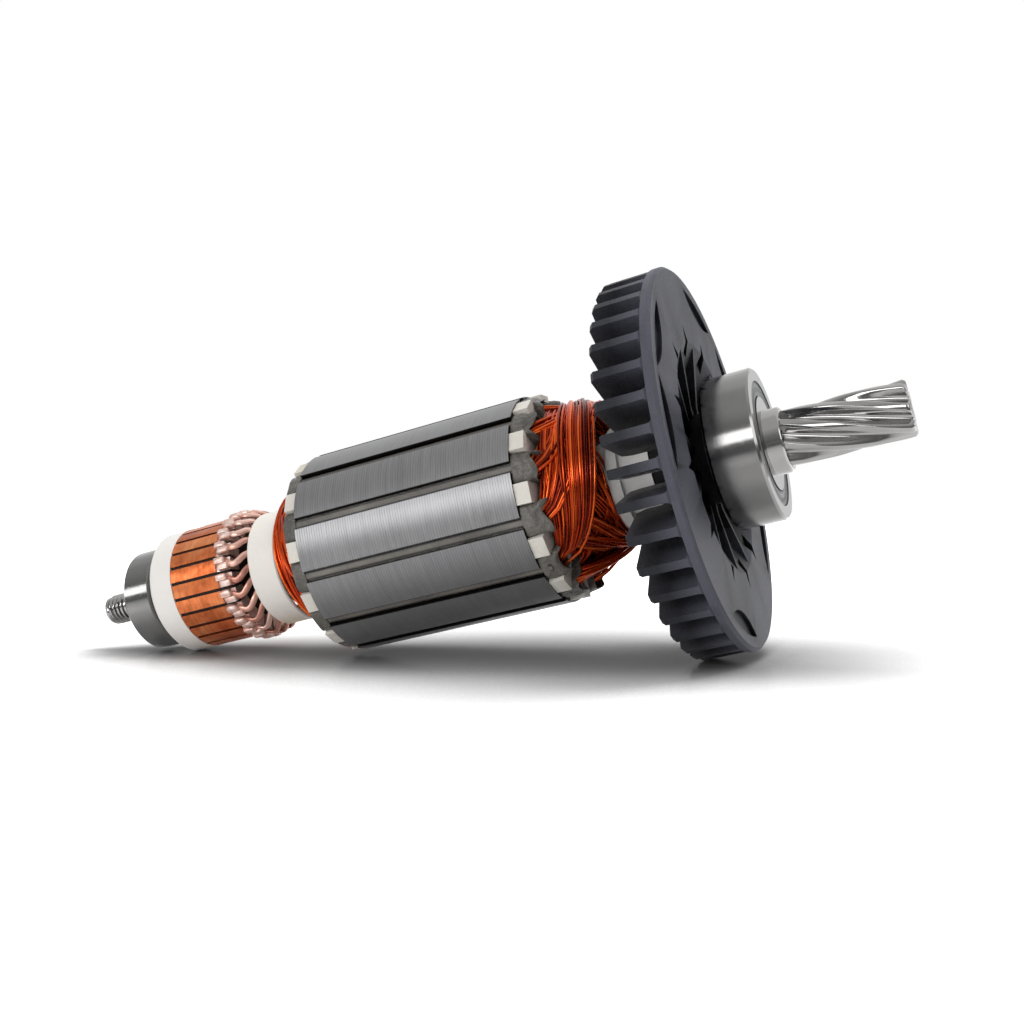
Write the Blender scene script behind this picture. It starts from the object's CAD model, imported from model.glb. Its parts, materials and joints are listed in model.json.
import json
import math
import random

import bpy
from mathutils import Matrix, Vector, noise


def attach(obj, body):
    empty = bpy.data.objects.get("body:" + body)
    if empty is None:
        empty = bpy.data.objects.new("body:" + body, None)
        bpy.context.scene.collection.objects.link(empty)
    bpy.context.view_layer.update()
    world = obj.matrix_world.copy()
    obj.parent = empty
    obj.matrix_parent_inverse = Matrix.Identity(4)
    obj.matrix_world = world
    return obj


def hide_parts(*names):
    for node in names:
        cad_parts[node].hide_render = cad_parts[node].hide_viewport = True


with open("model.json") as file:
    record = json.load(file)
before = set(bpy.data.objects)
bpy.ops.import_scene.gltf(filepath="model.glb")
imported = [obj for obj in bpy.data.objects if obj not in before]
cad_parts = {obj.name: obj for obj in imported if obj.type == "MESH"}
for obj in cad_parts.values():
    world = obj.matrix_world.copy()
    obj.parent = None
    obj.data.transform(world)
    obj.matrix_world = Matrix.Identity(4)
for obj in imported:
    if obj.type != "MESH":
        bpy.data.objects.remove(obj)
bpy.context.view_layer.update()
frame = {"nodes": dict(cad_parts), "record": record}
NODES = frame["nodes"]
RECORD = frame["record"]
MM = 0.001

# ---------------------------------------------------------------- the shaft's own frame
SEAT = next(m for m in RECORD["mounts"] if m["name"] == "front_bearing_seat")
AXIS = Vector(SEAT["axis"]).normalized()
UP = Vector((-AXIS.z, 0.0, AXIS.x)).normalized()
SIDE = AXIS.cross(UP)
ON_AXIS = Vector(SEAT["pos_m"])


def reach(node, start):
    """A node's lowest and highest place along the shaft from start, and its radii, in mm."""
    zs, rs = [], []
    for v in NODES[node].data.vertices:
        d = v.co - start
        z = d.dot(AXIS)
        zs.append(z / MM)
        rs.append((d - AXIS * z).length / MM)
    return min(zs), max(zs), min(rs), max(rs)


CORE_REAR = ON_AXIS + AXIS * (reach("core_stack", ON_AXIS)[0] * MM)


def spot(angle, r, z):
    """The point at an angle from the top (90 is the camera's side), a radius and a place along the shaft."""
    a = math.radians(angle)
    return CORE_REAR + AXIS * (z * MM) + (UP * math.cos(a) + SIDE * math.sin(a)) * (r * MM)


def extent(node):
    """A node's reach, with the core's rear face as zero."""
    return reach(node, CORE_REAR)


def phase_of(node, count):
    """Angle from the top of one of the evenly spaced copies in a node."""
    x = y = 0.0
    for v in NODES[node].data.vertices:
        d = v.co - CORE_REAR
        a = math.atan2(d.dot(SIDE), d.dot(UP)) * count
        x += math.cos(a)
        y += math.sin(a)
    return math.degrees(math.atan2(y, x)) / count


def heading(node):
    """Angle from the top of a node's middle."""
    verts = NODES[node].data.vertices
    d = sum((v.co - CORE_REAR for v in verts), Vector()) / len(verts)
    return math.degrees(math.atan2(d.dot(SIDE), d.dot(UP)))


SLOTS = 12
STEP = 360 / SLOTS
SPAN = 5 * STEP  # a coil's second side lies five slots on from its first
SLOT_PHASE = phase_of("slot_strips", SLOTS)
LAST_SLOT = SLOT_PHASE - STEP  # the slot where the last coil wound starts
SLOT_FLARE = 0.268  # half-width that a slot gains with each mm of radius
SHEET = 0.65  # thickness that the core's sheets show
SHIELD_RING = 0.0022  # pitch of the rings rolled into a bearing shield, in metres
SPEAR_PHASE = 6.0  # angle of one of the twelve spears sunk in the fan's bowl
SPEAR_END = 0.0312  # radius of a spear's point, in metres
SPEAR_FLARE = 0.27  # half-width that a spear gains with each unit of radius inwards
BOWL_EDGE = 0.0318  # radius of the bowl, in metres
HUB_PROUD = 1.5  # the fan's hub stands this far out of its face
BAR_COUNT = 24
BAR_STEP = 360 / BAR_COUNT
BAR_PHASE = heading("commutator_bar_01") - BAR_STEP / 2
PINION_LENGTH = 27.3
PINION_TWIST = 95  # degrees that the teeth turn over their length and the mm before it


# ---------------------------------------------------------------- node helpers
def material(name):
    m = bpy.data.materials.new(name)
    m.use_nodes = True
    nt = m.node_tree
    nt.nodes.clear()
    out = nt.nodes.new("ShaderNodeOutputMaterial")
    b = nt.nodes.new("ShaderNodeBsdfPrincipled")
    nt.links.new(b.outputs[0], out.inputs[0])
    return m, nt, b


def put(nt, socket, value):
    if isinstance(value, bpy.types.NodeSocket):
        nt.links.new(value, socket)
    else:
        socket.default_value = value


def node(nt, kind, inputs=(), **props):
    n = nt.nodes.new(kind)
    for k, v in props.items():
        setattr(n, k, v)
    for k, v in inputs:
        put(nt, n.inputs[k], v)
    return n


def maths(nt, op, a, b=0.0, c=0.0):
    return node(nt, "ShaderNodeMath", [(0, a), (1, b), (2, c)], operation=op).outputs[0]


def place(nt):
    return node(nt, "ShaderNodeTexCoord").outputs["Object"]


def along_shaft(nt):
    """Place along the shaft, in metres."""
    d = node(nt, "ShaderNodeVectorMath", [(0, place(nt)), (1, CORE_REAR)], operation="SUBTRACT").outputs[0]
    return node(nt, "ShaderNodeVectorMath", [(0, d), (1, AXIS)], operation="DOT_PRODUCT").outputs["Value"]


def round_shaft(nt):
    """Angle from the top in radians, and radius in metres."""
    d = node(nt, "ShaderNodeVectorMath", [(0, place(nt)), (1, CORE_REAR)], operation="SUBTRACT").outputs[0]
    x = node(nt, "ShaderNodeVectorMath", [(0, d), (1, UP)], operation="DOT_PRODUCT").outputs["Value"]
    y = node(nt, "ShaderNodeVectorMath", [(0, d), (1, SIDE)], operation="DOT_PRODUCT").outputs["Value"]
    r = maths(nt, "SQRT", maths(nt, "ADD", maths(nt, "MULTIPLY", x, x), maths(nt, "MULTIPLY", y, y)))
    return maths(nt, "ARCTAN2", y, x), r


def shaft_vector(nt, k_round=1.0, k_along=1.0):
    """Coordinates wrapped round the shaft: (arc length, length along, radius), scaled."""
    a, r = round_shaft(nt)
    z = along_shaft(nt)
    arc = maths(nt, "MULTIPLY", maths(nt, "MULTIPLY", a, r), k_round)
    z = maths(nt, "MULTIPLY", z, k_along)
    return node(nt, "ShaderNodeCombineXYZ", [(0, arc), (1, z), (2, r)]).outputs[0]


def cloud(nt, vector, scale, detail=4.0, rough=0.55):
    return node(nt, "ShaderNodeTexNoise", [("Vector", vector), ("Scale", scale), ("Detail", detail),
                                           ("Roughness", rough)]).outputs["Fac"]


def ramp(nt, fac, stops):
    n = node(nt, "ShaderNodeValToRGB", [(0, fac)])
    e = n.color_ramp.elements
    while len(e) < len(stops):
        e.new(0.5)
    for i, (p, c) in enumerate(stops):
        e[i].position = p
        e[i].color = (*c, 1) if len(c) == 3 else c
    return n.outputs["Color"]


def grey(v):
    return (v, v, v)


def between(nt, value, low, high, at_low=0.0, at_high=1.0):
    """Maps low..high to at_low..at_high, and stays level beyond them."""
    n = node(nt, "ShaderNodeMapRange", [("Value", value), ("From Min", low), ("From Max", high),
                                        ("To Min", at_low), ("To Max", at_high)])
    return n.outputs["Result"]


def spread(nt, fac, low, high):
    """Maps 0..1 to low..high."""
    return between(nt, fac, 0.0, 1.0, low, high)


def bump(nt, b, height, strength, distance):
    n = node(nt, "ShaderNodeBump", [("Height", height), ("Strength", strength), ("Distance", distance)])
    nt.links.new(n.outputs[0], b.inputs["Normal"])


def mix(nt, fac, a, b, kind="MIX"):
    n = node(nt, "ShaderNodeMix", data_type="RGBA", blend_type=kind)
    for s, v in ((n.inputs[0], fac), (n.inputs[6], a), (n.inputs[7], b)):
        if isinstance(v, tuple) and len(v) == 3:
            v = (*v, 1)
        put(nt, s, v)
    return n.outputs[2]


def edges(nt):
    """1 on outward edges, 0 elsewhere."""
    return between(nt, node(nt, "ShaderNodeNewGeometry").outputs["Pointiness"], 0.5, 0.58)


# ---------------------------------------------------------------- materials
def steel(name, base, rough, grain, turned=0.0):
    """Bare steel, faintly cloudy, with a fine grain and, where turned, fine lines round the shaft."""
    m, nt, b = material(name)
    v = shaft_vector(nt)
    fine = cloud(nt, v, 900.0, 3.0)
    broad = cloud(nt, v, 90.0, 5.0)
    lines = cloud(nt, shaft_vector(nt, 0.02, 1.0), 5200.0, 2.0)
    tone = ramp(nt, broad, [(0.25, tuple(x * 0.82 for x in base)), (0.75, base)])
    put(nt, b.inputs["Base Color"], tone)
    b.inputs["Metallic"].default_value = 1.0
    put(nt, b.inputs["Roughness"], spread(nt, fine, rough - 0.05, rough + 0.07))
    h = maths(nt, "ADD", maths(nt, "MULTIPLY", fine, grain), maths(nt, "MULTIPLY", lines, turned))
    bump(nt, b, h, 0.5, 0.0004)
    return m


def plastic(name, base, rough, mottle, grain=260.0, depth=0.0003, edge=None, stain=None, shade=None,
            gloss=0.5):
    """Moulded or painted surface, mottled and grained. edge and stain are colours of worn edges and of
    patches, and shade makes a factor on the colour."""
    m, nt, b = material(name)
    b.inputs["Specular IOR Level"].default_value = gloss
    p = place(nt)
    c1 = cloud(nt, p, 70.0, 6.0, 0.6)
    tone = ramp(nt, c1, [(0.3, tuple(x * (1 - mottle) for x in base)), (0.7, base)])
    if stain:
        f = ramp(nt, cloud(nt, p, 55.0, 4.0), [(0.56, grey(0)), (0.7, grey(0.7))])
        tone = mix(nt, f, tone, stain)
    if edge:
        tone = mix(nt, edges(nt), tone, edge)
    if shade:
        tone = mix(nt, 1.0, tone, shade(nt), "MULTIPLY")
    put(nt, b.inputs["Base Color"], tone)
    fine = cloud(nt, p, grain * 6, 4.0)
    put(nt, b.inputs["Roughness"], spread(nt, fine, rough - 0.06, rough + 0.1))
    bump(nt, b, fine, 0.35, depth)
    return m


def from_slot(nt, phase=SLOT_PHASE):
    """Distance in degrees from the nearest slot's middle, or from the nearest of twelve other marks."""
    a, _ = round_shaft(nt)
    turn = maths(nt, "ADD", maths(nt, "MULTIPLY", a, SLOTS / (2 * math.pi)), 0.5 - phase / STEP)
    off = maths(nt, "ABSOLUTE", maths(nt, "SUBTRACT", maths(nt, "FRACT", turn), 0.5))
    return maths(nt, "MULTIPLY", off, STEP)


def slot_dirt(nt):
    """Slot strips are dark along their edges."""
    across = maths(nt, "DIVIDE", from_slot(nt), 4.0)
    return ramp(nt, across, [(0.24, grey(1.0)), (0.46, grey(0.12)), (0.8, grey(0.25))])


def sunk_in(nt):
    """The fan is dull black deep in its bowl, in the spears that run out from it, and between its blades."""
    _, r = round_shaft(nt)
    z = along_shaft(nt)
    face = extent("fan")[1] - HUB_PROUD
    bowl = maths(nt, "LESS_THAN", r, BOWL_EDGE)
    deep = maths(nt, "LESS_THAN", z, (face - 3.4) * MM)
    aside = maths(nt, "MULTIPLY", maths(nt, "MULTIPLY", from_slot(nt, SPEAR_PHASE), math.pi / 180), r)
    half_width = maths(nt, "MULTIPLY", maths(nt, "SUBTRACT", SPEAR_END, r), SPEAR_FLARE)
    spear = maths(nt, "LESS_THAN", aside, half_width)
    spear = maths(nt, "MULTIPLY", spear, maths(nt, "LESS_THAN", z, (face - 0.1) * MM))
    dark = maths(nt, "MULTIPLY", bowl, maths(nt, "MAXIMUM", deep, spear))
    blades = between(nt, z, (face - 9.0) * MM, (face - 2.6) * MM, 0.7, 0.0)
    f = maths(nt, "MAXIMUM", maths(nt, "MULTIPLY", dark, 0.97), blades)
    return ramp(nt, f, [(0.0, grey(1.0)), (1.0, grey(0.0))])


def lamination(name):
    """Turned surface of a stack of thin steel sheets, satin with fine lines round it."""
    m, nt, b = material(name)
    z = along_shaft(nt)
    v = shaft_vector(nt)
    sheets = maths(nt, "MULTIPLY", z, 1000.0 / SHEET)
    sheet = maths(nt, "FRACT", sheets)
    groove = ramp(nt, sheet, [(0.0, grey(0.0)), (0.16, grey(1.0)), (0.84, grey(1.0)), (1.0, grey(0.0))])
    count = maths(nt, "FLOOR", sheets)
    each = node(nt, "ShaderNodeTexWhiteNoise", [("W", count)], noise_dimensions="1D").outputs["Value"]
    scratch = cloud(nt, shaft_vector(nt, 0.12, 1.6), 700.0, 4.0, 0.7)
    broad = cloud(nt, v, 60.0, 4.0)
    base = ramp(nt, scratch, [(0.3, (0.23, 0.23, 0.235)), (0.7, (0.3, 0.3, 0.305))])
    base = mix(nt, ramp(nt, broad, [(0.35, grey(0.0)), (0.75, grey(0.5))]), base, (0.31, 0.31, 0.315))
    base = mix(nt, 1.0, base, ramp(nt, groove, [(0.0, grey(0.72)), (1.0, grey(1.0))]), "MULTIPLY")
    _, r = round_shaft(nt)
    wall = maths(nt, "LESS_THAN", r, (extent("core_stack")[3] - 0.12) * MM)
    line = ramp(nt, maths(nt, "DIVIDE", from_slot(nt), 5.0), [(0.63, grey(0.25)), (0.68, grey(1.0))])
    base = mix(nt, wall, mix(nt, 1.0, base, line, "MULTIPLY"), (0.035, 0.033, 0.03))
    put(nt, b.inputs["Base Color"], base)
    b.inputs["Metallic"].default_value = 1.0
    put(nt, b.inputs["Roughness"], spread(nt, scratch, 0.32, 0.44))
    h = maths(nt, "ADD", maths(nt, "MULTIPLY", groove, 0.6), maths(nt, "MULTIPLY", each, 0.4))
    h = maths(nt, "ADD", h, maths(nt, "MULTIPLY", scratch, 0.25))
    bump(nt, b, h, 0.35, 0.00012)
    return m


def copper(name):
    """Worn brush track: orange copper, streaked round the track, each bar its own shade, and pale hooks."""
    m, nt, b = material(name)
    z0, z1, _, _ = extent("commutator_bar_01")
    z = along_shaft(nt)
    t = between(nt, z, z0 * MM, z1 * MM)
    streak = cloud(nt, shaft_vector(nt, 0.1, 1.0), 1500.0, 4.0, 0.7)
    patch = cloud(nt, shaft_vector(nt, 1.0, 0.8), 230.0, 5.0, 0.65)
    tone = ramp(nt, patch, [(0.3, (0.5, 0.12, 0.04)), (0.5, (0.85, 0.25, 0.09)), (0.72, (0.95, 0.4, 0.17))])
    tone = mix(nt, ramp(nt, streak, [(0.45, grey(0.0)), (0.7, grey(0.45))]), tone, (0.33, 0.09, 0.035))
    a, _ = round_shaft(nt)
    count = maths(nt, "MULTIPLY", a, BAR_COUNT / (2 * math.pi))
    bar = maths(nt, "FLOOR", maths(nt, "SUBTRACT", count, BAR_PHASE / BAR_STEP))
    each = node(nt, "ShaderNodeTexWhiteNoise", [("W", bar)], noise_dimensions="1D").outputs["Value"]
    shades = [(0.0, (0.6, 0.52, 0.48)), (0.6, (0.85, 0.8, 0.78)), (1.0, grey(1.0))]
    tone = mix(nt, 1.0, tone, ramp(nt, each, shades), "MULTIPLY")
    hook = ramp(nt, t, [(0.755, grey(0.0)), (0.775, grey(1.0))])
    pale = ramp(nt, cloud(nt, place(nt), 700.0, 3.0), [(0.35, (0.78, 0.5, 0.42)), (0.7, (0.93, 0.8, 0.74))])
    tone = mix(nt, hook, tone, pale)
    put(nt, b.inputs["Base Color"], tone)
    b.inputs["Metallic"].default_value = 1.0
    rough = spread(nt, streak, 0.22, 0.42)
    rough = maths(nt, "ADD", rough, maths(nt, "MULTIPLY", hook, 0.16))
    put(nt, b.inputs["Roughness"], rough)
    bump(nt, b, maths(nt, "ADD", streak, maths(nt, "MULTIPLY", patch, 0.5)), 0.3, 0.00012)
    return m


def enamel(name, dark, mid, light, rough=0.25, coat=0.35):
    """Enamelled wire: the colour varies from strand to strand by a stored number."""
    m, nt, b = material(name)
    a = node(nt, "ShaderNodeAttribute", attribute_name="strand").outputs["Fac"]
    p = cloud(nt, place(nt), 330.0, 3.0)
    f = maths(nt, "ADD", maths(nt, "MULTIPLY", a, 0.7), maths(nt, "MULTIPLY", p, 0.3))
    put(nt, b.inputs["Base Color"], ramp(nt, f, [(0.1, dark), (0.5, mid), (0.95, light)]))
    b.inputs["Metallic"].default_value = 0.85
    put(nt, b.inputs["Roughness"], spread(nt, p, rough - 0.05, rough + 0.12))
    b.inputs["Coat Weight"].default_value = coat
    b.inputs["Coat Roughness"].default_value = 0.18
    return m


def shield(name):
    """Rubber-covered bearing shield with rolled rings."""
    m, nt, b = material(name)
    _, r = round_shaft(nt)
    ring = maths(nt, "SINE", maths(nt, "MULTIPLY", r, 2 * math.pi / SHIELD_RING))
    grain = cloud(nt, place(nt), 900.0, 3.0)
    tone = ramp(nt, spread(nt, ring, 0.5, 1.0), [(0.0, (0.02, 0.021, 0.024)), (1.0, (0.16, 0.165, 0.17))])
    put(nt, b.inputs["Base Color"], tone)
    b.inputs["Metallic"].default_value = 0.35
    put(nt, b.inputs["Roughness"], spread(nt, grain, 0.34, 0.5))
    bump(nt, b, maths(nt, "ADD", ring, maths(nt, "MULTIPLY", grain, 0.15)), 0.7, 0.0004)
    return m


MATS = {
    "ground_steel": steel("ground_steel", (0.4, 0.395, 0.39), 0.11, 0.01, 0.02),
    "bearing_steel": steel("bearing_steel", (0.26, 0.257, 0.254), 0.14, 0.015, 0.02),
    "ball_steel": steel("ball_steel", (0.8, 0.8, 0.8), 0.08, 0.01),
    "cage_steel": steel("cage_steel", (0.5, 0.5, 0.52), 0.3, 0.05),
    "lamination_steel": lamination("lamination_steel"),
    "insulator_white": plastic("insulator_white", (0.66, 0.63, 0.57), 0.42, 0.2, stain=(0.42, 0.37, 0.29)),
    "liner_paper": plastic("liner_paper", (0.16, 0.148, 0.13), 0.26, 0.75, 120.0, 0.0022),
    "slot_strip": plastic("slot_strip", (0.19, 0.175, 0.155), 0.4, 0.6, 220.0, 0.0006, shade=slot_dirt),
    "winding_wire": enamel("winding_wire", (0.07, 0.004, 0.001), (0.5, 0.045, 0.006), (0.95, 0.17, 0.02),
                           coat=0.08),
    "lead_wire": enamel("lead_wire", (0.45, 0.17, 0.12), (0.78, 0.44, 0.35), (0.92, 0.66, 0.57), 0.3),
    "band_white": plastic("band_white", (0.72, 0.695, 0.655), 0.5, 0.07, 200.0, 0.0004,
                          stain=(0.76, 0.67, 0.46)),
    "hub_resin": plastic("hub_resin", (0.012, 0.007, 0.006), 0.8, 0.5),
    "washer_white": plastic("washer_white", (0.7, 0.68, 0.65), 0.42, 0.05, 160.0, 0.0002),
    "spacer_dark": plastic("spacer_dark", (0.012, 0.012, 0.013), 0.6, 0.3),
    "collar_grey": plastic("collar_grey", (0.56, 0.55, 0.53), 0.34, 0.4, 240.0, 0.0006,
                           stain=(0.3, 0.29, 0.27)),
    "fan_plastic": plastic("fan_plastic", (0.009, 0.0093, 0.0145), 0.42, 0.6, 420.0, 0.0006,
                           edge=(0.07, 0.072, 0.09), stain=(0.03, 0.031, 0.038), shade=sunk_in, gloss=0.14),
    "seal_grey": shield("seal_grey"),
    "bar_copper": copper("bar_copper"),
}
SLOT_OF = {s["node"]: s["material_slot"] for s in RECORD["subparts"]}
for name, obj in NODES.items():
    obj.data.materials.clear()
    obj.data.materials.append(MATS[SLOT_OF[name]])


# ---------------------------------------------------------------- pieces
def make(name, verts, faces, slot, body="rotor", smooth=True, strand=None):
    """A piece that rides on a body. strand is a number for each point, which sets its wire's tone."""
    me = bpy.data.meshes.new(name)
    me.from_pydata([tuple(v) for v in verts], [], faces)
    me.validate()
    if strand is not None:
        at = me.attributes.new("strand", "FLOAT", "POINT")
        at.data.foreach_set("value", strand)
    for p in me.polygons:
        p.use_smooth = smooth
    ob = bpy.data.objects.new(name, me)
    bpy.context.scene.collection.objects.link(ob)
    ob.data.materials.append(MATS[slot])
    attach(ob, body)
    return ob


def tube(points, radius, sides, verts, faces, marks, mark, flat=1.0):
    """Adds a round or flattened tube along points to verts and faces, and its mark to marks."""
    base = len(verts)
    n = len(points)
    last = None
    for i, p in enumerate(points):
        t = (points[min(i + 1, n - 1)] - points[max(i - 1, 0)]).normalized()
        if last is None:
            last = (p - CORE_REAR).cross(t).normalized()
        u = (last - t * last.dot(t)).normalized()
        last = u
        w = t.cross(u)
        for k in range(sides):
            a = 2 * math.pi * k / sides
            verts.append(p + (u * math.cos(a) + w * (math.sin(a) * flat)) * radius)
            marks.append(mark)
    for i in range(n - 1):
        for k in range(sides):
            a, b = base + i * sides + k, base + i * sides + (k + 1) % sides
            faces.append((a, b, b + sides, a + sides))
    for ring, turn in ((base, -1), (base + (n - 1) * sides, 1)):
        faces.append(tuple((ring + k for k in range(sides)))[::turn])


def smooth_path(points, steps):
    """A curve through (angle, radius, place) points, as (angle, radius, place)."""
    out = []
    last = len(points) - 1
    for i in range(last):
        p = [points[max(i - 1, 0)], points[i], points[i + 1], points[min(i + 2, last)]]
        for k in range(steps if i < last - 1 else steps + 1):
            t = k / steps
            out.append([0.5 * (2 * p[1][c] + (p[2][c] - p[0][c]) * t
                               + (2 * p[0][c] - 5 * p[1][c] + 4 * p[2][c] - p[3][c]) * t * t
                               + (3 * p[1][c] - p[0][c] - 3 * p[2][c] + p[3][c]) * t ** 3) for c in range(3)])
    return out


def coil_wires(name, face, way, height, r_low, r_high, seed, radius=0.33):
    """One head of the winding, a coil at a time in the order of winding. Each coil leaves its slot,
    lies over the coils before it and enters the slot five further on."""
    rng = random.Random(seed)
    lower_side, upper_side = 15.2, 18.4  # radius where a coil side starts in its slot
    least, more = 14, 30  # wires shown of the first coil, and how many more of the last
    verts, faces, marks = [], [], []
    for rank in range(SLOTS):
        share = rank / (SLOTS - 1)
        start = LAST_SLOT - STEP * (SLOTS - 1 - rank)
        tops = (rank >= 5, rank >= 7)  # whether each side of the coil lies over another in its slot
        count = least + round(more * share)  # the later coils cover the earlier
        for k in range(count):
            w = (k + rng.random()) / count
            ends = []
            for side, top in enumerate(tops):
                r = (upper_side if top else lower_side) + rng.random() * (3.6 if top else 3.0)
                room = SLOT_FLARE * r - 3.2
                lean = (2 * w - 1) * (-1 if side == 0 else 1) * room * (0.75 + 0.25 * rng.random())
                ends.append((start + side * SPAN + math.degrees(lean / r), r))
            top_r = r_low + (r_high - r_low) * share + rng.uniform(-0.9, 0.9) - 0.8 * abs(2 * w - 1)
            rise = height * (0.1 + 0.9 * w) + rng.uniform(-0.4, 0.4)
            wave, shift = rng.uniform(-0.35, 0.35), rng.random() * 6.28
            path = [(ends[0][0], ends[0][1], face - way * 4.0), (ends[0][0], ends[0][1], face - way * 1.0)]
            across = 20
            for i in range(across + 1):
                u = i / across
                bend = math.sin(math.pi * u)
                a = ends[0][0] + (ends[1][0] - ends[0][0]) * (u - 0.035 * math.sin(2 * math.pi * u))
                base = ends[0][1] + (ends[1][1] - ends[0][1]) * u
                r = base + (top_r - base) * bend ** 0.8 + wave * math.sin(9 * u + shift) * bend
                z = face + way * (0.6 + rise * bend ** 0.6 + 0.5 * wave * math.cos(7 * u + shift) * bend)
                path.append((a, r, z))
            path += [(ends[1][0], ends[1][1], face - way * 1.0), (ends[1][0], ends[1][1], face - way * 4.0)]
            tube([spot(*q) for q in path], radius * MM, 6, verts, faces, marks, rng.random())
    return make(name, verts, faces, "winding_wire", strand=marks)


def lathe(name, outline, slot, wobble=0.0):
    """A turned piece from (radius, place) points, with an uneven radius if asked."""
    verts, faces = [], []
    around = 96
    n = len(outline)
    for i in range(around):
        a = 360 * i / around
        x, y = math.cos(math.radians(a)) * 3, math.sin(math.radians(a)) * 3
        for r, z in outline:
            e = wobble * noise.noise(Vector((x + 1, y, z * 0.3)))
            verts.append(spot(a, r + e, z))
    for i in range(around):
        for j in range(n):
            a, b = i * n + j, i * n + (j + 1) % n
            c, d = (i + 1) % around * n + j, (i + 1) % around * n + (j + 1) % n
            faces.append((a, c, d, b))
    return make(name, verts, faces, slot)


def liner_ends(name, face, way, length, ragged, seed):
    """Ends of the slot liners, varnished and crumpled where they stand out between the fingers."""
    rng = random.Random(seed)
    rings, outer = 9, 24.2
    half = [(x, SLOT_FLARE * x - 2.75) for x in (14.6, 17.0, 19.4, 21.4)]
    half += [(22.6, 3.45), (23.5, 3.5), (24.0, 2.6), (outer, 1.2)]
    loop = [(x, -y) for x, y in half] + [(x, y) for x, y in reversed(half)]
    verts, faces = [], []
    n = len(loop)
    for s in range(SLOTS):
        a0 = SLOT_PHASE + s * STEP
        base = len(verts)
        reach_of = [length * (1 + ragged * (rng.random() - 0.5)) for _ in loop]
        for i in range(rings):
            t = i / (rings - 1)
            for j, (x, y) in enumerate(loop):
                z = face + way * reach_of[j] * t
                e = noise.noise(Vector((x * 0.5 + s * 7, y * 0.8 + seed, t * 3.2))) * 3.0 * ragged * t
                f = noise.noise(Vector((y * 0.9 + s * 5, x * 0.6 + seed, t * 4.0))) * 3.0 * ragged * t
                curl = -2.2 * ragged * t * t
                r, q = x + e + curl, y * (1 + 0.06 * t) + f
                r = min(r, outer)
                verts.append(spot(a0 + math.degrees(math.atan2(q, r)), math.hypot(r, q), z))
        for i in range(rings - 1):
            for j in range(n - 1):
                a = base + i * n + j
                faces.append((a, a + 1, a + n + 1, a + n))
    ob = make(name, verts, faces, "liner_paper")
    thick = ob.modifiers.new("thickness", "SOLIDIFY")
    thick.thickness = 0.3 * MM
    thick.offset = 0
    sub = ob.modifiers.new("round", "SUBSURF")
    sub.levels = sub.render_levels = 1
    return ob


BARS = [n for n in sorted(NODES) if n.startswith("commutator_bar_")]


def lead_pairs(name):
    """The lead wires of each bar: out of the hook, round its nose and back under the band."""
    verts, faces, marks = [], [], []
    hook = extent(BARS[0])[1]
    track = extent("commutator_washer")[3]
    band0, _, band_r, _ = extent("lead_band")
    gap = band0 - hook
    rng = random.Random(5)
    radius, flat = 0.86, 0.62
    for bar in BARS:
        m = heading(bar)
        e = rng.uniform(-0.8, 0.8)
        knots = [(m - 0.5, track - 0.5, hook - 1.6), (m + 0.6, track - 0.1, hook - 0.2),
                 (m + 2.2 + e, track + 0.1, hook + 0.26 * gap), (m + 0.4 + e, track - 0.4, hook + 0.52 * gap),
                 (m - 4.5 + e, track - 1.2, hook + 0.78 * gap),
                 (m - 9.5 + e, band_r - 0.6, hook + 1.02 * gap), (m - 12.5, band_r - 0.8, hook + 1.5 * gap)]
        path = [spot(*q) for q in smooth_path(knots, 4)]
        tube(path, radius * MM, 10, verts, faces, marks, rng.random(), flat=flat)
    return make(name, verts, faces, "lead_wire", strand=marks)


def hook_caps(name):
    """Rounded tangs folded over the leads, two on each bar."""
    verts, faces = [], []
    hook = extent(BARS[0])[1]
    track = extent("commutator_washer")[3] - 0.1
    half_long, half_wide, half_thick, aside = 1.68, 0.86, 1.28, 0.82
    k, n = 8, 16

    def soft(v, e):
        return math.copysign(abs(v) ** e, v)

    for bar in BARS:
        m = heading(bar)
        for side, mid in ((-1, hook - 2.55), (1, hook - 1.55)):
            base = len(verts)
            for i in range(k + 1):
                p = math.pi * (i / k - 0.5)
                for j in range(n):
                    q = 2 * math.pi * j / n
                    z = soft(math.sin(p), 0.55) * half_long
                    y = soft(math.cos(p), 0.55) * soft(math.cos(q), 0.6) * half_wide + side * aside
                    x = soft(math.cos(p), 0.55) * soft(math.sin(q), 0.6) * half_thick
                    verts.append(spot(m + math.degrees(y / track), track + x, mid + z))
            for i in range(k):
                for j in range(n):
                    a, b = base + i * n + j, base + i * n + (j + 1) % n
                    faces.append((a, b, b + n, a + n))
    return make(name, verts, faces, "bar_copper")


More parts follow.
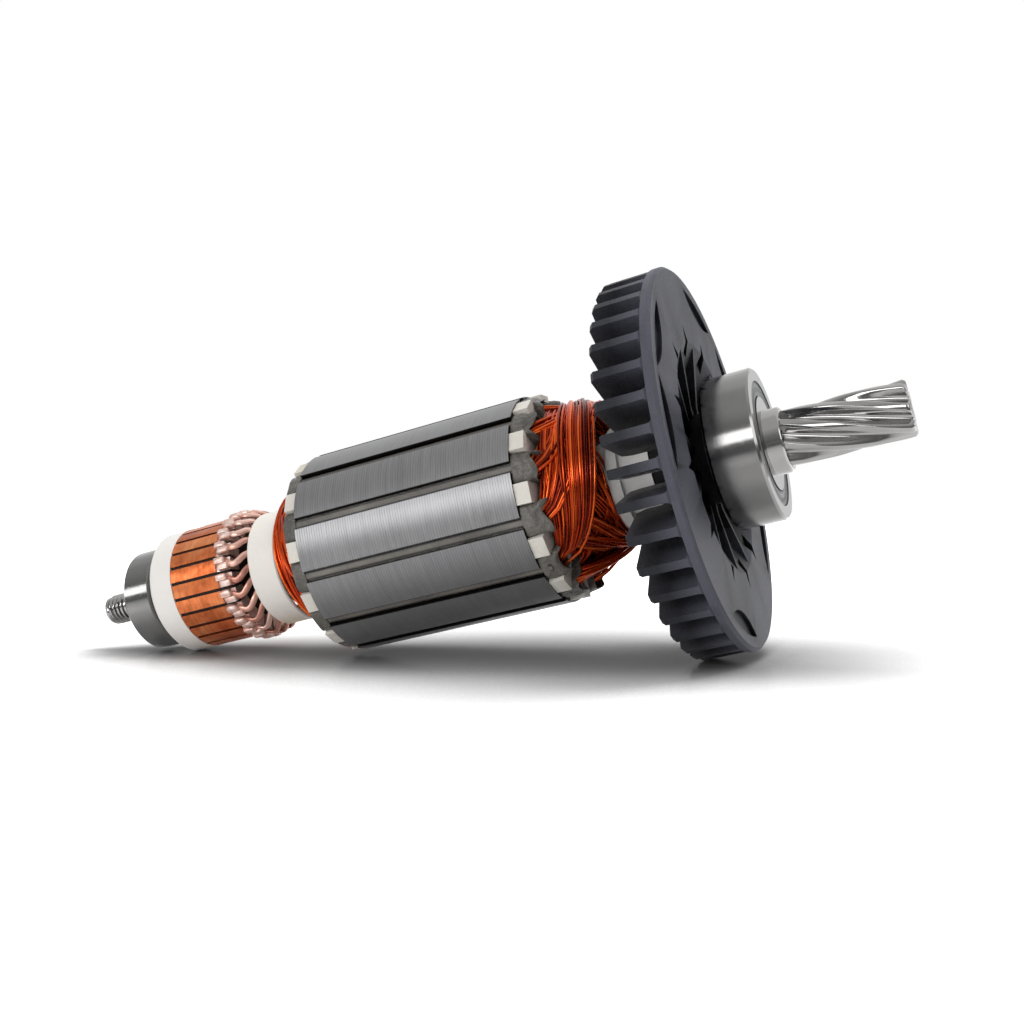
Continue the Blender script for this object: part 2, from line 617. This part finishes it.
def shaft_pieces():
    """The shaft at its real smoothness: the plain turned part and the helical pinion."""
    z0, z1, _, _ = extent("shaft")
    rb0, rb1, _, _ = extent("rear_bearing_outer_ring")
    rear_r = extent("rear_bearing_inner_ring")[2]
    front_r = extent("front_bearing_inner_ring")[2]
    core_r = extent("fan_collar")[2]
    hub = extent("fan_collar")[1]
    neck = z1 - PINION_LENGTH
    stub_r, undercut_r, seat_r, tip_r = 3.6, 3.1, 6.9, 6.4
    outline = [(0, z0), (2.8, z0), (stub_r, z0 + 0.8), (stub_r, rb0 - 1.4), (undercut_r, rb0 - 1.2),
               (undercut_r, rb0), (rear_r, rb0), (rear_r, rb1 + 2), (seat_r, rb1 + 2), (seat_r, -3),
               (core_r, -3), (core_r, hub), (front_r, hub), (front_r, neck - 0.6),
               (front_r - 0.25, neck - 0.2), (front_r - 0.6, neck), (0, neck)]
    turned = lathe("shaft_turned", outline, "ground_steel")
    # one tooth's outline, as (share of the pitch, radius)
    land = [(-0.13, 6.36), (-0.1, tip_r), (0.0, tip_r), (0.1, tip_r), (0.13, 6.36)]
    flank = [(0.19, 5.95), (0.24, 5.45), (0.3, 4.8), (0.36, 4.4), (0.43, 4.24)]
    root = [(0.5, 4.2), (0.57, 4.24), (0.64, 4.4), (0.7, 4.8), (0.76, 5.45), (0.81, 5.95)]
    teeth = 7
    ring = [((k + f) * 360 / teeth, r) for k in range(teeth) for f, r in land + flank + root]
    n = len(ring)
    verts, faces = [], []
    steps = 90
    for i in range(steps + 1):
        z = neck - 0.3 + (z1 - neck + 0.3) * (i / steps)
        ease = max(0.0, z - (z1 - 0.6))
        for a, r in ring:
            twist = PINION_TWIST * (z - neck + 1) / (PINION_LENGTH + 1)
            verts.append(spot(a + twist, min(r, tip_r - ease), z))
    for i in range(steps):
        for j in range(n):
            a, b = i * n + j, i * n + (j + 1) % n
            faces.append((a, b, b + n, a + n))
    faces.append(tuple(range(len(verts) - n, len(verts))))
    teeth_piece = make("pinion_teeth", verts, faces, "ground_steel")
    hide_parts("shaft")
    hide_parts("shaft")


def thread(name, z0, z1, root, crest, pitch):
    """Ridge of a screw thread on the stub, running out at both ends."""
    verts, faces = [], []
    around = 40
    turns = (z1 - z0) / pitch
    n = int(turns * around)
    for i in range(n + 1):
        a = 360 * i / around
        z = z0 + pitch * i / around
        fade = min(1.0, i / around * 1.5, (n - i) / around * 1.5)
        top = root + (crest - root) * fade
        for dz, r in ((-0.42, root - 0.15), (-0.40, root), (-0.09, top),
                      (0.09, top), (0.40, root), (0.42, root - 0.15)):
            verts.append(spot(a, r, z + dz * pitch))
    for i in range(n):
        for j in range(5):
            a = i * 6 + j
            faces.append((a, a + 6, a + 7, a + 1))
    return make(name, verts, faces, "ground_steel", smooth=False)


front_face = extent("end_insulator_front")[1]
rear_face = extent("end_insulator_rear")[0]
front_wires = coil_wires("winding_front", front_face, 1, 14.2, 10.8, 20.4, 3)
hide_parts("armature_winding")
coil_wires("winding_rear", rear_face, -1, 7.4, 10.6, 17.4, 4)
lathe("winding_heart_front", [(9.7, front_face - 3.0), (14.2, front_face - 3.0), (14.0, front_face + 4.0),
                              (12.4, front_face + 9.0), (9.7, front_face + 10.5)], "winding_wire", wobble=0.7)
lathe("winding_heart_rear", [(9.7, rear_face + 3.0), (14.2, rear_face + 3.0), (13.6, rear_face - 4.0),
                             (12.4, rear_face - 8.6), (9.7, rear_face - 9.0)], "winding_wire", wobble=0.4)
liner_ends("liner_ends_front", extent("core_stack")[1], 1, 5.3, 0.55, 3)
liner_ends("liner_ends_rear", 0.0, -1, 3.5, 0.14, 8)
leads = lead_pairs("lead_pairs")
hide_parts("lead_wires")
hook_caps("hook_caps")
shaft_pieces()
thread("stub_thread", extent("shaft")[0] + 0.9, extent("rear_bearing_outer_ring")[0] - 1.7, 3.58, 4.0, 1.25)

# ---------------------------------------------------------------- camera, floor and light
camera = bpy.data.cameras.new("camera")
camera.lens, camera.sensor_width = 46.07, 36.0
camera.clip_start = 0.01
eye = bpy.data.objects.new("camera", camera)
EYE = Vector((0.12372, -0.29405, 0.03498))
AZ, EL, ROLL = math.radians(110.82), math.radians(-0.1), math.radians(-1.37)  # the way it looks
look = Vector((math.cos(AZ) * math.cos(EL), math.sin(AZ) * math.cos(EL), math.sin(EL)))
flat = look.cross(Vector((0, 0, 1))).normalized()
high = flat.cross(look)
right = flat * math.cos(ROLL) + high * math.sin(ROLL)
top = right.cross(look)
turn = Matrix((right, top, -look)).transposed().to_4x4()
eye.matrix_world = Matrix.Translation(EYE) @ turn
bpy.context.scene.collection.objects.link(eye)
bpy.context.scene.camera = eye
bpy.context.scene.view_settings.view_transform = "Standard"


def floor_material():
    """White floor. Camera and mirror rays see it run out to plain white, with the object's soft shadow kept
    near the object. Mirror rays see it dark in front of the object, as an unlit room would be."""
    m, nt, b = material("studio_floor")
    nt.nodes.remove(b)
    out = nt.nodes["Material Output"]
    p = place(nt)
    g = spread(nt, cloud(nt, p, 30.0, 3.0), 0.88, 0.91)
    far = node(nt, "ShaderNodeVectorMath", [(0, p)], operation="LENGTH").outputs["Value"]
    lift = between(nt, far, 0.1, 0.42, 0.02, 1.0)
    ray = node(nt, "ShaderNodeLightPath")
    camera_ray, glossy_ray = ray.outputs["Is Camera Ray"], ray.outputs["Is Glossy Ray"]
    seen = maths(nt, "MINIMUM", maths(nt, "ADD", camera_ray, glossy_ray), 1.0)
    open_air = node(nt, "ShaderNodeAmbientOcclusion", [("Distance", 0.17)], samples=12).outputs["AO"]
    under = ramp(nt, open_air, [(0.0, grey(0.05)), (0.4, grey(0.16)), (0.7, grey(0.42)), (0.9, grey(0.8)),
                                (0.98, grey(1.0))])
    felt = maths(nt, "MULTIPLY_ADD", glossy_ray, 0.3, camera_ray)
    under = mix(nt, maths(nt, "MINIMUM", felt, 1.0), grey(1.0), under)
    tone = maths(nt, "MULTIPLY", maths(nt, "MULTIPLY", g, maths(nt, "MULTIPLY_ADD", seen, 0.3, 1.0)), under)
    y = node(nt, "ShaderNodeSeparateXYZ", [(0, p)]).outputs["Y"]
    front = between(nt, y, -0.26, -0.02, 1.0, 0.25)
    shy = maths(nt, "MULTIPLY", maths(nt, "MULTIPLY", front, glossy_ray), 0.92)
    shy = maths(nt, "SUBTRACT", 1.0, shy)
    tone = maths(nt, "MULTIPLY", tone, shy)
    strength = maths(nt, "MULTIPLY", maths(nt, "MULTIPLY", maths(nt, "MULTIPLY", lift, seen), shy), under)
    glow = node(nt, "ShaderNodeEmission", [("Color", (1, 1, 1, 1)), ("Strength", strength)])
    matt = node(nt, "ShaderNodeBsdfDiffuse", [("Color", tone)])
    gloss = node(nt, "ShaderNodeBsdfAnisotropic", [("Color", (1, 1, 1, 1)), ("Roughness", 0.16)])
    coat = node(nt, "ShaderNodeMixShader", [(0, 0.07), (1, matt.outputs[0]), (2, gloss.outputs[0])])
    both = node(nt, "ShaderNodeAddShader", [(0, coat.outputs[0]), (1, glow.outputs[0])])
    nt.links.new(both.outputs[0], out.inputs[0])
    return m


bpy.ops.mesh.primitive_plane_add(size=8.0, location=(0, 0, -0.00002))
floor = bpy.context.object
floor.name = "floor"
floor.data.materials.append(floor_material())

world = bpy.data.worlds.new("studio")
bpy.context.scene.world = world
world.use_nodes = True
wt = world.node_tree
wt.nodes.clear()
wo = wt.nodes.new("ShaderNodeOutputWorld")
way = node(wt, "ShaderNodeSeparateXYZ", [(0, node(wt, "ShaderNodeTexCoord").outputs["Generated"])])
# the room is dimmer on the camera's side and low down, so that metal shows bands
room = ramp(wt, spread(wt, way.outputs["Y"], 0.5, 1.0),
            [(0.0, grey(0.5)), (0.42, grey(0.55)), (0.6, grey(1.0))])
over = ramp(wt, way.outputs["Z"],
            [(0.0, grey(0.45)), (0.08, grey(0.25)), (0.4, grey(0.45)), (0.75, grey(1.0))])
room = mix(wt, 1.0, room, over, "MULTIPLY")
plain = node(wt, "ShaderNodeBackground", [("Color", room), ("Strength", 1.0)])
white = node(wt, "ShaderNodeBackground", [("Color", (1, 1, 1, 1)), ("Strength", 1.0)])
ray = node(wt, "ShaderNodeLightPath")
# the backdrop behind the object is white to the camera and in metal and glass
behind = between(wt, way.outputs["Y"], 0.3, 0.6)
mirror = maths(wt, "ADD", ray.outputs["Is Glossy Ray"], ray.outputs["Is Transmission Ray"])
seen = maths(wt, "ADD", ray.outputs["Is Camera Ray"], maths(wt, "MULTIPLY", mirror, behind))
seen = maths(wt, "MINIMUM", seen, 1.0)
pick = node(wt, "ShaderNodeMixShader", [(0, seen), (1, plain.outputs[0]), (2, white.outputs[0])])
wt.links.new(pick.outputs[0], wo.inputs[0])


def lamp(name, where, aim, size, power, size_y=None):
    data = bpy.data.lights.new(name, "AREA")
    data.shape = "RECTANGLE"
    data.size = size
    data.size_y = size_y or size
    data.energy = power
    ob = bpy.data.objects.new(name, data)
    ob.location = where
    ob.rotation_euler = (Vector(aim) - Vector(where)).to_track_quat("-Z", "Y").to_euler()
    bpy.context.scene.collection.objects.link(ob)
    return ob


# the top lamp lights the object, but metal doesn't mirror it
lamp("top", (0.2, 0.3, 0.82), (0, 0, 0), 0.45, 5.2).visible_glossy = False
lamp("front", (-0.25, -0.85, 0.27), (0, 0, 0.04), 1.15, 4.4, 0.24)
lamp("side", (0.8, -0.15, 0.4), (0.03, 0, 0.04), 0.35, 1.0)
